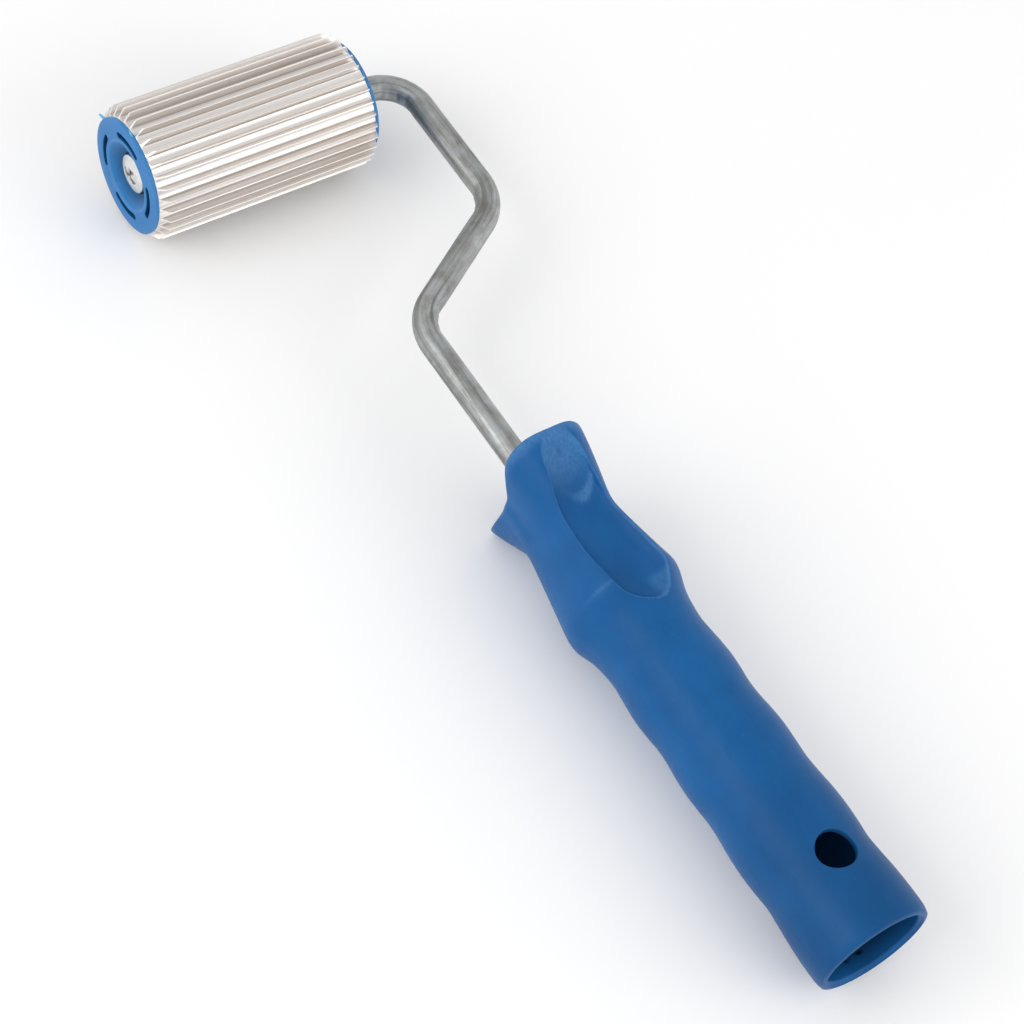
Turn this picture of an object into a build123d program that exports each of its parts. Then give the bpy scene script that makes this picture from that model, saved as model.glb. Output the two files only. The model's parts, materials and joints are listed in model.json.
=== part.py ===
from build123d import *
import math
import os

# Seam roller: a finned aluminium roller turning on the end of a cranked steel
# wire, with a moulded hand grip that has a pole socket in its end.
# Millimetres. +Z up, the wire frame lies flat in one horizontal plane, the
# handle runs along -Y and the roller axle along X. The working origin is where
# the handle's axis crosses the roller's axis; PLACE moves it so that the
# finished tool is centred over X = Y = 0 with its lowest point at Z = 0.

# ---- placing ----
HANDLE_X = 0.205
AXLE_Y = 138.4
AXLE_Z = 20.0
PLACE = Pos(HANDLE_X, AXLE_Y, AXLE_Z)

# How far a cutting body runs past the face that it cuts.
CUT_OVER = 5.0

# ---- frame wire ----
WIRE_R = 3.8
WIRE_END_X = -46.3
CRANK_X = 43.65
CRANK_LOW_Y = -52.9
REJOIN_Y = -80.3
TOP_BEND_R = 12.0
LOW_BEND_R = 16.0
WIRE_TAIL_Y = -201.0
WIRE_END_CHAMFER = 0.5

# ---- roller sleeve ----
FIN_COUNT = 33
FIN_PHASE = -3.7
FIN_TIP_R = 20.0
FIN_ROOT_R = 17.45
FIN_TIP_HALF = 0.3
FIN_BASE_HALF = 0.62
VALLEY_DROP = 0.18
SLEEVE_BORE_R = 15.5
SLEEVE_OUT_X = -46.7
SLEEVE_IN_X = 24.45
OUTER_BEVEL_LENGTH = 2.2
INNER_BEVEL_LENGTH = 0.9
BEVEL_CLEARANCE = 0.1

# ---- end caps ----
FLANGE_R = 17.3
FLANGE_THICK = 1.16
SPIGOT_WALL = 1.6
SPIGOT_DEPTH = 13.0
WEB_THICK = 2.4
CORE_R = 10.8
CORE_DEPTH = 6.0
DISH_TOP_R = 10.5
DISH_FLOOR_R = 6.9
DISH_DEPTH = 2.9
POCKET_R = 6.25
POCKET_DEPTH = 4.4
HUB_R = 7.0
HUB_DEPTH = 17.0
RUNNING_GAP = 0.06
SLOT_MID_R = 12.75
SLOT_WIDTH = 1.8
SLOT_SPAN = 45.0
SLOT_COUNT = 4
SLOT_PHASE = 95.0

# ---- axle retainers ----
WASHER_OUT_R = 6.0
WASHER_BORE_R = 3.95
WASHER_THICK = 0.6
FACE_GAP = 0.06
PUSH_CAP_R = 5.75
PUSH_CAP_APEX_DROP = 0.8
DOME_RISE = 1.2
DENT_R = 1.4
DENT_DEPTH = 0.35
STOP_RING_R = 5.75
STOP_RING_LENGTH = 2.6

# ---- handle: nose, finger guard and thumb rest ----
NOSE_Y = -141.5
NOSE_R = 4.9
RIDGE_Y = -183.6
FLARE_BULGE = 1.2
NOSE_FULLNESS = 0.8
# Where the skin's rings sit: along the nose from the wire out to the rim, along
# the flare from the rim to the waist, and along the flank up to the ridge.
NOSE_STEPS = (1.0, 0.85, 0.68, 0.5, 0.32, 0.15, 0.0)
FLARE_STEPS = (0.12, 0.35, 0.65, 0.88)
FLANK_STEPS = (0.0, 0.08, 0.25, 0.5, 0.75, 0.92, 1.0)
# Around the handle: angle from straight up, in degrees, then the front rim's
# distance along Y and its radius, the waist's Y and radius, the ridge's radius.
HEAD_RIBS = [
    (0, -139.3, 24.7, -161.0, 19.2, 20.5),
    (20, -138.9, 23.8, -161.0, 17.8, 19.9),
    (35, -139.6, 21.0, -160.6, 15.6, 19.2),
    (50, -141.7, 16.0, -160.0, 13.7, 18.4),
    (70, -144.2, 12.5, -158.8, 12.4, 17.6),
    (90, -144.9, 12.1, -157.6, 12.2, 17.3),
    (110, -144.2, 12.8, -156.6, 12.4, 17.3),
    (130, -142.0, 15.7, -156.0, 12.9, 17.7),
    (143, -140.5, 18.7, -156.0, 13.3, 18.0),
    (152, -139.3, 20.7, -156.0, 13.6, 18.2),
    (164, -138.6, 20.7, -156.0, 13.9, 18.4),
    (180, -138.4, 19.9, -156.0, 14.0, 18.5),
]

# ---- handle: grip ----
# Distance along Y, half width, half height.
GRIP = [
    (-186.2, 16.75, 19.4),
    (-188.4, 15.95, 18.4),
    (-190.8, 15.2, 17.45),
    (-193.6, 14.65, 16.7),
    (-196.6, 14.3, 16.15),
    (-200.5, 14.1, 15.8),
    (-204.5, 14.4, 16.0),
    (-208.5, 14.8, 16.2),
    (-212.8, 15.05, 16.25),
    (-217.0, 14.9, 15.95),
    (-222.0, 14.55, 15.45),
    (-226.5, 14.75, 15.45),
    (-231.5, 15.25, 15.85),
    (-236.2, 15.5, 15.9),
    (-241.2, 15.35, 15.65),
    (-246.6, 15.15, 15.3),
    (-251.3, 15.45, 15.5),
    (-256.2, 15.9, 15.9),
    (-262.0, 16.1, 16.1),
    (-267.2, 15.95, 15.95),
    (-272.6, 15.6, 15.6),
    (-277.4, 15.9, 15.9),
    (-282.2, 16.3, 16.3),
    (-287.2, 16.55, 16.55),
    (-292.0, 16.6, 16.6),
    (-294.6, 16.5, 16.5),
    (-295.9, 16.2, 16.2),
    (-296.6, 15.7, 15.7),
    (-296.8, 15.0, 15.0),
]
MOUTH_Y = GRIP[-1][0]

# ---- handle: thumb scoop ----
# Distance along Y, middle along X, rim half width, rim height, floor height.
SCOOP = [
    (-134.0, 2.9, 6.5, 31.0, 29.0),
    (-140.0, 1.9, 6.5, 26.0, 24.45),
    (-145.0, 1.0, 6.3, 22.9, 21.6),
    (-149.0, 0.4, 6.2, 20.6, 18.7),
    (-153.0, 0.1, 6.5, 18.4, 15.9),
    (-157.0, 0.0, 7.0, 16.8, 13.9),
    (-161.0, 0.1, 7.5, 16.2, 12.8),
    (-166.0, 0.2, 8.0, 16.2, 12.2),
    (-173.0, 0.5, 8.8, 17.2, 12.0),
    (-180.0, 1.1, 9.2, 18.3, 12.4),
    (-185.0, 1.5, 9.0, 18.6, 13.0),
    (-189.0, 1.8, 7.6, 18.3, 13.9),
    (-191.6, 2.4, 5.6, 18.2, 15.1),
    (-193.2, 2.8, 3.4, 18.2, 16.2),
    (-194.2, 3.0, 1.4, 18.4, 17.2),
]
SCOOP_TOP_Z = 44.0

# ---- handle: bores ----
SOCKET_R = 13.7
SOCKET_DEPTH = 70.0
MOUTH_CHAMFER = 0.5
CORE_CAVITY_R = 11.6
CORE_CAVITY_END_Y = -197.0
HANG_HOLE_R = 5.5
HANG_HOLE_Y = -273.5
SECTION_POINTS = 36


def lerp(a, b, t):
    """Straight blend from a to b."""
    return a + (b - a) * t


def smooth_at(table, column, x):
    """Value of one table column at x, on a smooth curve through the rows."""
    n = len(table)
    i = 0
    while i < n - 2 and abs(x - table[0][0]) > abs(table[i + 1][0] - table[0][0]):
        i += 1
    x0, x1 = table[i][0], table[i + 1][0]
    y0, y1 = table[i][column], table[i + 1][column]
    before = table[i - 1] if i > 0 else table[1]
    after = table[i + 2] if i + 2 < n else table[n - 2]
    gap_before = x1 - before[0] if i > 0 else 2 * (x1 - x0)
    gap_after = after[0] - x0 if i + 2 < n else 2 * (x1 - x0)
    s0 = (y1 - before[column]) / gap_before if i > 0 else 0.0
    s1 = (after[column] - y0) / gap_after if i + 2 < n else 0.0
    h = x1 - x0
    t = (x - x0) / h
    a = 2 * t ** 3 - 3 * t ** 2 + 1
    b = t ** 3 - 2 * t ** 2 + t
    c = -2 * t ** 3 + 3 * t ** 2
    d = t ** 3 - t ** 2
    return a * y0 + b * h * s0 + c * y1 + d * h * s1


def section_angles():
    """Angles round a section, in degrees from straight up."""
    return [360.0 * k / SECTION_POINTS for k in range(SECTION_POINTS)]


def head_rib(angle):
    """Rim, waist and ridge positions of the head at one angle."""
    folded = angle if angle <= 180 else 360 - angle
    return [smooth_at(HEAD_RIBS, column, folded) for column in range(1, 6)]


def polar_point(angle, radius, y):
    """Point at an angle from straight up, round the handle's axis."""
    a = math.radians(angle)
    return Vector(radius * math.sin(a), y, radius * math.cos(a))


def closed_curve(points):
    """Smooth closed wire through points."""
    return Wire([Edge.make_spline(points, periodic=True)])


def nose_curve(u):
    """Ring on the nose: u = 0 on the front rim, u = 1 round the wire."""
    points = []
    for angle in section_angles():
        rim_y, rim_r, waist_y, waist_r, ridge_r = head_rib(angle)
        radius = lerp(NOSE_R, rim_r, math.cos(u * math.pi / 2) ** NOSE_FULLNESS)
        y = lerp(rim_y, NOSE_Y, math.sin(u * math.pi / 2))
        points.append(polar_point(angle, radius, y))
    return closed_curve(points)


def flare_curve(t):
    """Ring on the flare: t = 0 on the front rim, t = 1 at the waist."""
    points = []
    for angle in section_angles():
        rim_y, rim_r, waist_y, waist_r, ridge_r = head_rib(angle)
        radius = lerp(rim_r, waist_r, t ** FLARE_BULGE)
        points.append(polar_point(angle, radius, lerp(rim_y, waist_y, t)))
    return closed_curve(points)


def flank_curve(t):
    """Ring on the flank: t = 0 at the waist, t = 1 on the ridge."""
    points = []
    for angle in section_angles():
        rim_y, rim_r, waist_y, waist_r, ridge_r = head_rib(angle)
        points.append(polar_point(angle, lerp(waist_r, ridge_r, t), lerp(waist_y, RIDGE_Y, t)))
    return closed_curve(points)


def grip_curve(y, half_width, half_height):
    """Oval ring on the grip."""
    points = []
    for angle in section_angles():
        a = math.radians(angle)
        points.append(Vector(half_width * math.sin(a), y, half_height * math.cos(a)))
    return closed_curve(points)


def make_handle_body():
    """Outer skin of the handle as one solid."""
    rings = [nose_curve(u) for u in NOSE_STEPS]
    rings += [flare_curve(t) for t in FLARE_STEPS]
    rings += [flank_curve(t) for t in FLANK_STEPS]
    rings += [grip_curve(*row) for row in GRIP]
    return Solid.make_loft(rings, False)


def make_scoop_tool():
    """Trough that is taken out of the top of the head for the thumb."""
    rings = []
    for y, middle_x, half_width, rim_z, floor_z in SCOOP:
        points = []
        for angle in section_angles():
            a = math.radians(angle)
            up = SCOOP_TOP_Z - rim_z if math.cos(a) > 0 else rim_z - floor_z
            points.append(Vector(middle_x + half_width * math.sin(a), y, rim_z + up * math.cos(a)))
        rings.append(closed_curve(points))
    return Solid.make_loft(rings, False)


def rod_y(radius, y_from, y_to):
    """Cylinder along the handle's axis between two Y positions."""
    length = abs(y_to - y_from)
    middle = (y_from + y_to) / 2
    return Pos(0, middle, 0) * Rot(90, 0, 0) * Cylinder(radius, length)


def make_handle():
    """Handle with thumb scoop, wire bore, hollow core, pole socket and hang hole."""
    socket_end = MOUTH_Y + SOCKET_DEPTH
    body = Part() + make_handle_body()
    body -= make_scoop_tool()
    body -= rod_y(WIRE_R, NOSE_Y + CUT_OVER, CORE_CAVITY_END_Y - CUT_OVER)
    body -= rod_y(CORE_CAVITY_R, CORE_CAVITY_END_Y, socket_end - CUT_OVER)
    body -= rod_y(SOCKET_R, socket_end, MOUTH_Y - CUT_OVER)
    mouth = Cone(SOCKET_R, SOCKET_R + 2 * MOUTH_CHAMFER, 2 * MOUTH_CHAMFER)
    body -= Pos(0, MOUTH_Y, 0) * Rot(90, 0, 0) * mouth
    body -= Pos(0, HANG_HOLE_Y, 0) * Cylinder(HANG_HOLE_R, 4 * SOCKET_R)
    return body


def bend_points(a, corner, b, radius):
    """Tangent points and mid point of a bend of given radius at a corner."""
    to_a = (a - corner).normalized()
    to_b = (b - corner).normalized()
    half = math.radians(to_a.get_angle(to_b)) / 2
    run = radius / math.tan(half)
    centre = corner + (to_a + to_b).normalized() * (radius / math.sin(half))
    middle = centre + (corner - centre).normalized() * radius
    return corner + to_a * run, middle, corner + to_b * run


def make_wire():
    """Cranked round wire: axle, two arms and the tail inside the handle."""
    start = Vector(WIRE_END_X, 0, 0)
    corner_1 = Vector(CRANK_X, 0, 0)
    corner_2 = Vector(CRANK_X, CRANK_LOW_Y, 0)
    corner_3 = Vector(0, REJOIN_Y, 0)
    end = Vector(0, WIRE_TAIL_Y, 0)
    a1, m1, b1 = bend_points(start, corner_1, corner_2, TOP_BEND_R)
    a2, m2, b2 = bend_points(corner_1, corner_2, corner_3, LOW_BEND_R)
    a3, m3, b3 = bend_points(corner_2, corner_3, end, LOW_BEND_R)
    path = Wire([
        Edge.make_line(start, a1),
        Edge.make_three_point_arc(a1, m1, b1),
        Edge.make_line(b1, a2),
        Edge.make_three_point_arc(a2, m2, b2),
        Edge.make_line(b2, a3),
        Edge.make_three_point_arc(a3, m3, b3),
        Edge.make_line(b3, end),
    ])
    rod = sweep(Plane(start, z_dir=(1, 0, 0)) * Circle(WIRE_R), path)
    outer_rim = rod.edges().filter_by(GeomType.CIRCLE).sort_by(Axis.X)[0]
    return chamfer(outer_rim, WIRE_END_CHAMFER)


def ring_x(outer_r, inner_r, x_from, x_to):
    """Plain ring along the axle between two X positions."""
    length = abs(x_to - x_from)
    middle = (x_from + x_to) / 2
    ring = Cylinder(outer_r, length)
    if inner_r > 0:
        ring -= Cylinder(inner_r, 2 * length)
    return Pos(middle, 0, 0) * Rot(0, 90, 0) * ring


def roll_point(radius, angle, offset):
    """Point in the roller's section: angle from +Z towards +Y, offset sideways."""
    a = math.radians(angle)
    y = radius * math.sin(a) + offset * math.cos(a)
    z = radius * math.cos(a) - offset * math.sin(a)
    return Vector(0, y, z)


def make_fin_outline():
    """Closed outline of the finned section: narrow crests, rounded valleys."""
    pitch = 360.0 / FIN_COUNT
    edges = []
    for k in range(FIN_COUNT):
        angle = FIN_PHASE + k * pitch
        base_a = roll_point(FIN_ROOT_R, angle, -FIN_BASE_HALF)
        tip_a = roll_point(FIN_TIP_R, angle, -FIN_TIP_HALF)
        tip_b = roll_point(FIN_TIP_R, angle, FIN_TIP_HALF)
        base_b = roll_point(FIN_ROOT_R, angle, FIN_BASE_HALF)
        valley = roll_point(FIN_ROOT_R - VALLEY_DROP, angle + pitch / 2, 0)
        next_base = roll_point(FIN_ROOT_R, angle + pitch, -FIN_BASE_HALF)
        edges.append(Edge.make_line(base_a, tip_a))
        edges.append(Edge.make_line(tip_a, tip_b))
        edges.append(Edge.make_line(tip_b, base_b))
        edges.append(Edge.make_three_point_arc(base_b, valley, next_base))
    return Wire(edges)


def make_sleeve():
    """Extruded finned tube with its fins bevelled at both ends."""
    length = SLEEVE_IN_X - SLEEVE_OUT_X
    blank = extrude(Face(make_fin_outline()), length, dir=(1, 0, 0))
    blank = Pos(SLEEVE_OUT_X, 0, 0) * blank
    blank -= ring_x(SLEEVE_BORE_R, 0, SLEEVE_OUT_X - CUT_OVER, SLEEVE_IN_X + CUT_OVER)
    low_r = FIN_ROOT_R - VALLEY_DROP
    over = FIN_TIP_R + BEVEL_CLEARANCE
    slope = (over - low_r) / (over - FIN_ROOT_R)
    outer_run = OUTER_BEVEL_LENGTH * slope
    inner_run = INNER_BEVEL_LENGTH * slope
    spindle = Polyline(
        (SLEEVE_OUT_X, 0, 0),
        (SLEEVE_OUT_X, 0, low_r),
        (SLEEVE_OUT_X + outer_run, 0, over),
        (SLEEVE_IN_X - inner_run, 0, over),
        (SLEEVE_IN_X, 0, low_r),
        (SLEEVE_IN_X, 0, 0),
        close=True,
    )
    return blank & revolve(make_face(spindle), Axis.X)


def make_end_cap():
    """End cap with its outer face at x = 0 and its body towards +X."""
    spigot_r = SLEEVE_BORE_R
    cap = ring_x(FLANGE_R, 0, 0, FLANGE_THICK)
    cap += ring_x(spigot_r, spigot_r - SPIGOT_WALL, FLANGE_THICK, SPIGOT_DEPTH)
    cap += ring_x(spigot_r, 0, 0, WEB_THICK)
    cap += ring_x(CORE_R, 0, 0, CORE_DEPTH)
    cap += ring_x(HUB_R, 0, 0, HUB_DEPTH)
    dish = Cone(DISH_FLOOR_R, DISH_TOP_R, DISH_DEPTH)
    cap -= Pos(DISH_DEPTH / 2, 0, 0) * Rot(0, -90, 0) * dish
    cap -= ring_x(POCKET_R, 0, 0, POCKET_DEPTH)
    cap -= ring_x(WIRE_R + RUNNING_GAP, 0, 0, HUB_DEPTH + CUT_OVER)
    for k in range(SLOT_COUNT):
        cap -= make_cap_slot(SLOT_PHASE + 360.0 * k / SLOT_COUNT)
    return cap


def make_cap_slot(angle):
    """Curved slot through the cap's web, centred on one angle."""
    path = CenterArc((0, 0), SLOT_MID_R, angle - SLOT_SPAN / 2, SLOT_SPAN)
    outline = Plane.YZ * make_face(offset(path, SLOT_WIDTH / 2, side=Side.BOTH))
    return Pos(-CUT_OVER, 0, 0) * extrude(outline, WEB_THICK + 2 * CUT_OVER)


def make_push_cap(cap_face_x):
    """Domed cap pressed over the axle's end, with a punched hollow in its middle."""
    apex_x = cap_face_x + PUSH_CAP_APEX_DROP
    shoulder_x = apex_x + DOME_RISE
    skirt_x = cap_face_x + POCKET_DEPTH - FACE_GAP - WASHER_THICK
    dome_r = (PUSH_CAP_R ** 2 + DOME_RISE ** 2) / (2 * DOME_RISE)
    half_r = PUSH_CAP_R / 2
    half_x = apex_x + dome_r - math.sqrt(dome_r ** 2 - half_r ** 2)
    rim_x = apex_x + dome_r - math.sqrt(dome_r ** 2 - DENT_R ** 2)
    outline = Wire([
        Edge.make_line((WIRE_END_X, 0, 0), (WIRE_END_X, 0, WIRE_R)),
        Edge.make_line((WIRE_END_X, 0, WIRE_R), (skirt_x, 0, WIRE_R)),
        Edge.make_line((skirt_x, 0, WIRE_R), (skirt_x, 0, PUSH_CAP_R)),
        Edge.make_line((skirt_x, 0, PUSH_CAP_R), (shoulder_x, 0, PUSH_CAP_R)),
        Edge.make_three_point_arc(
            (shoulder_x, 0, PUSH_CAP_R), (half_x, 0, half_r), (rim_x, 0, DENT_R)),
        Edge.make_line((rim_x, 0, DENT_R), (apex_x + DENT_DEPTH, 0, 0)),
        Edge.make_line((apex_x + DENT_DEPTH, 0, 0), (WIRE_END_X, 0, 0)),
    ])
    return revolve(Face(outline), Axis.X)


def save(shape, node):
    """Write one placed solid as its own STEP file."""
    solids = (PLACE * shape).solids()
    if len(solids) != 1:
        raise ValueError(node + " is not one solid")
    export_step(solids[0], "parts/" + node + ".step")


def main():
    """Build and write every piece."""
    os.makedirs("parts", exist_ok=True)
    outer_face_x = SLEEVE_OUT_X - FLANGE_THICK
    inner_face_x = SLEEVE_IN_X + FLANGE_THICK
    end_cap = make_end_cap()
    save(make_handle(), "handle_shell")
    save(make_wire(), "frame_wire")
    save(make_sleeve(), "ribbed_sleeve")
    save(Pos(outer_face_x, 0, 0) * end_cap, "outer_end_cap")
    save(Pos(inner_face_x, 0, 0) * Rot(0, 180, 0) * end_cap, "inner_end_cap")
    save(make_push_cap(outer_face_x), "axle_push_cap")
    outer_floor_x = outer_face_x + POCKET_DEPTH - FACE_GAP
    inner_floor_x = inner_face_x - POCKET_DEPTH + FACE_GAP
    save(ring_x(WASHER_OUT_R, WASHER_BORE_R, outer_floor_x - WASHER_THICK, outer_floor_x),
         "outer_thrust_washer")
    stop_x = inner_floor_x + WASHER_THICK
    save(ring_x(WASHER_OUT_R, WASHER_BORE_R, inner_floor_x, stop_x), "inner_thrust_washer")
    save(ring_x(STOP_RING_R, WIRE_R, stop_x, stop_x + STOP_RING_LENGTH), "inner_stop_ring")


main()
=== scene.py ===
"""Looks of the seam roller: aluminium finned roller, bent zinc wire, blue moulded handle."""

import json
import math

import bmesh
import bpy
import numpy as np
from mathutils import Matrix, Vector


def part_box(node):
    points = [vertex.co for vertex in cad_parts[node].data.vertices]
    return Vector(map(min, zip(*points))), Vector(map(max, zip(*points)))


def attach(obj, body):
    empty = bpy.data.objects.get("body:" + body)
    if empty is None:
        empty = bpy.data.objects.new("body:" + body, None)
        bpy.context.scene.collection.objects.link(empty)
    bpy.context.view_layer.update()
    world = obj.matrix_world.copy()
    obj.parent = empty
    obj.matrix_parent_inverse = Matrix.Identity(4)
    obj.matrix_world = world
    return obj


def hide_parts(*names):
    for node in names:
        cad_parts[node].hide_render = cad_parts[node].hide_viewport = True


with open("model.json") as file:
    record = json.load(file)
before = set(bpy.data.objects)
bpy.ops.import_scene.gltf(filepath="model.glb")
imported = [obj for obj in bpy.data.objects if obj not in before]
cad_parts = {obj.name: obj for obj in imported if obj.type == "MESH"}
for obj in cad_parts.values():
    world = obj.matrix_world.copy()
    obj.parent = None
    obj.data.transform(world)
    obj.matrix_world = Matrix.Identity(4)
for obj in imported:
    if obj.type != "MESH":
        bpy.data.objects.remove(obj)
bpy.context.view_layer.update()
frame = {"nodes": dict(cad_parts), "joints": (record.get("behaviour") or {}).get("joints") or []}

# Shapes are worked out in millimetres from the point where the handle's axis
# crosses the roller's axis: X along the roller, Y towards the roller, Z up.
MM = 0.001
shell_low, shell_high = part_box("handle_shell")
axle = frame["joints"][0]["pos_m"]
ORIGIN = np.array([(shell_low.x + shell_high.x) / 2, axle[1], axle[2]])


def smooth_at(table, column, x):
    """Column of a table at each x, on a smooth curve through the rows."""
    rows = np.array(table, float)
    s = rows[:, 0]
    v = rows[:, column]
    if s[0] > s[-1]:
        s = s[::-1]
        v = v[::-1]
    slope = np.gradient(v, s)
    x = np.clip(np.asarray(x, float), s[0], s[-1])
    i = np.clip(np.searchsorted(s, x) - 1, 0, len(s) - 2)
    h = s[i + 1] - s[i]
    t = (x - s[i]) / h
    a = 2 * t ** 3 - 3 * t ** 2 + 1
    b = t ** 3 - 2 * t ** 2 + t
    c = -2 * t ** 3 + 3 * t ** 2
    d = t ** 3 - t ** 2
    return a * v[i] + b * h * slope[i] + c * v[i + 1] + d * h * slope[i + 1]


def smoothstep(low, high, x):
    """0 below low, 1 above high, and an even curve between."""
    t = np.clip((x - low) / (high - low), 0, 1)
    return t * t * (3 - 2 * t)


def smooth_max(a, b, k):
    """The larger of two fields, with the crease between them rounded by k."""
    h = np.clip(k - np.abs(a - b), 0, None) / k
    return np.maximum(a, b) + h * h * k / 4


def hump(x, middle, width):
    """A bell curve of height 1."""
    return np.exp(-((x - middle) / width) ** 2)


def unit(vector):
    return vector / np.linalg.norm(vector)


def run_along(curve):
    """Distance along a curve at each of its points."""
    return np.concatenate([[0], np.cumsum(np.linalg.norm(np.diff(curve, axis=0), axis=1))])


# ---- mesh building

def add_object(name, data):
    """A new object in the scene."""
    thing = bpy.data.objects.new(name, data)
    bpy.context.scene.collection.objects.link(thing)
    return thing


class Skin:
    """Collects the vertices, faces and point values of one piece."""

    def __init__(self):
        self.blocks = []
        self.count = 0
        self.faces = []
        self.values = []

    def add(self, points, *channels):
        """Adds points with up to three values each; returns their numbers, in the same layout."""
        points = np.asarray(points, float)
        shape = points.shape[:-1]
        n = int(np.prod(shape))
        value = np.zeros((*shape, 3))
        for k, channel in enumerate(channels):
            value[..., k] = channel
        self.blocks.append(points.reshape(-1, 3))
        self.values.append(value.reshape(-1, 3))
        first = self.count
        self.count += n
        return (first + np.arange(n)).reshape(shape)

    def quads(self, grid, windows=()):
        """Faces all round between rows of point numbers, less any windows."""
        grid = np.concatenate([grid, grid[:, :1]], axis=1)
        q = np.stack([grid[:-1, :-1], grid[:-1, 1:], grid[1:, 1:], grid[1:, :-1]], axis=-1)
        keep = np.ones(q.shape[:2], bool)
        for row_0, row_1, col_0, col_1 in windows:
            keep[row_0:row_1, col_0:col_1] = False
        self.faces.extend(q[keep].tolist())

    def cap(self, ring):
        """One face over a closed ring of point numbers."""
        self.faces.append([int(i) for i in ring])

    def build(self, name, material, body, attribute, sharp=None):
        """Makes the object, in the row frame, with outward faces."""
        points = np.concatenate(self.blocks) * MM + ORIGIN
        mesh = bpy.data.meshes.new(name)
        mesh.from_pydata(points.tolist(), [], self.faces)
        layer = mesh.attributes.new(attribute, "FLOAT_VECTOR", "POINT")
        layer.data.foreach_set("vector", np.concatenate(self.values).astype(np.float32).ravel())
        bm = bmesh.new()
        bm.from_mesh(mesh)
        bmesh.ops.recalc_face_normals(bm, faces=bm.faces)
        for face in bm.faces:
            face.smooth = True
        if sharp:
            for edge in bm.edges:
                if len(edge.link_faces) == 2 and edge.calc_face_angle(0.0) > math.radians(sharp):
                    edge.smooth = False
        bm.to_mesh(mesh)
        bm.free()
        mesh.materials.append(material)
        piece = add_object(name, mesh)
        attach(piece, body)
        return piece


def window_loop(grid, row_0, row_1, col_0, col_1):
    """Point numbers round a rectangular window of a grid."""
    top = grid[row_0, col_0:col_1]
    right = grid[row_0:row_1, col_1]
    bottom = grid[row_1, col_1:col_0:-1]
    left = grid[row_1:row_0:-1, col_0]
    return np.concatenate([top, right, bottom, left])


# ---- materials

def add_node(tree, kind, **values):
    """A new shader node with the given input values."""
    node = tree.nodes.new("ShaderNode" + kind)
    for name, value in values.items():
        node.inputs[name.replace("_", " ")].default_value = value
    return node


class Paint:
    """A node material being built round one Principled shader."""

    def __init__(self, name):
        self.material = bpy.data.materials.new(name)
        self.material.use_nodes = True
        self.tree = self.material.node_tree
        self.shader = self.tree.nodes["Principled BSDF"]
        self.coords = add_node(self.tree, "TexCoord").outputs["Object"]

    def link(self, a, b):
        self.tree.links.new(a, b)

    def attribute(self, name):
        """A point value, whole and as its three channels."""
        node = add_node(self.tree, "Attribute")
        node.attribute_name = name
        split = add_node(self.tree, "SeparateXYZ")
        self.link(node.outputs["Vector"], split.inputs[0])
        return node.outputs["Vector"], split.outputs

    def noise(self, scale, source=None, detail=4.0, rough=0.55, warp=0.0):
        """Noise with its own scale along each axis, in cycles per unit of its source."""
        stretch = add_node(self.tree, "Mapping", Scale=scale)
        self.link(source or self.coords, stretch.inputs["Vector"])
        node = add_node(self.tree, "TexNoise", Scale=1.0, Detail=detail, Roughness=rough,
                        Distortion=warp)
        self.link(stretch.outputs[0], node.inputs["Vector"])
        return node.outputs["Fac"]

    def spread(self, value, low, high, to_low, to_high):
        """Maps a span of a value to another span."""
        node = add_node(self.tree, "MapRange", From_Min=low, From_Max=high, To_Min=to_low,
                        To_Max=to_high)
        self.link(value, node.inputs["Value"])
        return node.outputs[0]

    def combine(self, kind, a, b):
        """Sum or product of two values; either may be a plain number."""
        node = add_node(self.tree, "Math")
        node.operation = kind
        for socket, value in zip(node.inputs, (a, b)):
            if isinstance(value, (int, float)):
                socket.default_value = value
            else:
                self.link(value, socket)
        return node.outputs[0]

    def blend(self, factor, a, b):
        """Colour between a and b."""
        node = add_node(self.tree, "Mix")
        node.data_type = "RGBA"
        self.link(factor, node.inputs["Factor"])
        for socket, value in ((node.inputs[6], a), (node.inputs[7], b)):
            if isinstance(value, tuple):
                socket.default_value = (*value, 1.0)
            else:
                self.link(value, socket)
        return node.outputs[2]

    def over(self, tint, colour, field, low, high, most=1.0):
        """Lays a colour over a tint where a field runs from low to high."""
        return self.blend(self.spread(field, low, high, 0.0, most), tint, colour)

    def bump(self, height, depth, below=None):
        """A bump of the given depth in metres, on top of another."""
        node = add_node(self.tree, "Bump", Distance=depth)
        self.link(height, node.inputs["Height"])
        if below is not None:
            self.link(below, node.inputs["Normal"])
        return node.outputs[0]

    def finish(self, colour, roughness, normal, **settings):
        self.link(colour, self.shader.inputs["Base Color"])
        self.link(roughness, self.shader.inputs["Roughness"])
        self.link(normal, self.shader.inputs["Normal"])
        for name, value in settings.items():
            self.shader.inputs[name.replace("_", " ")].default_value = value
        return self.material


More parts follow.
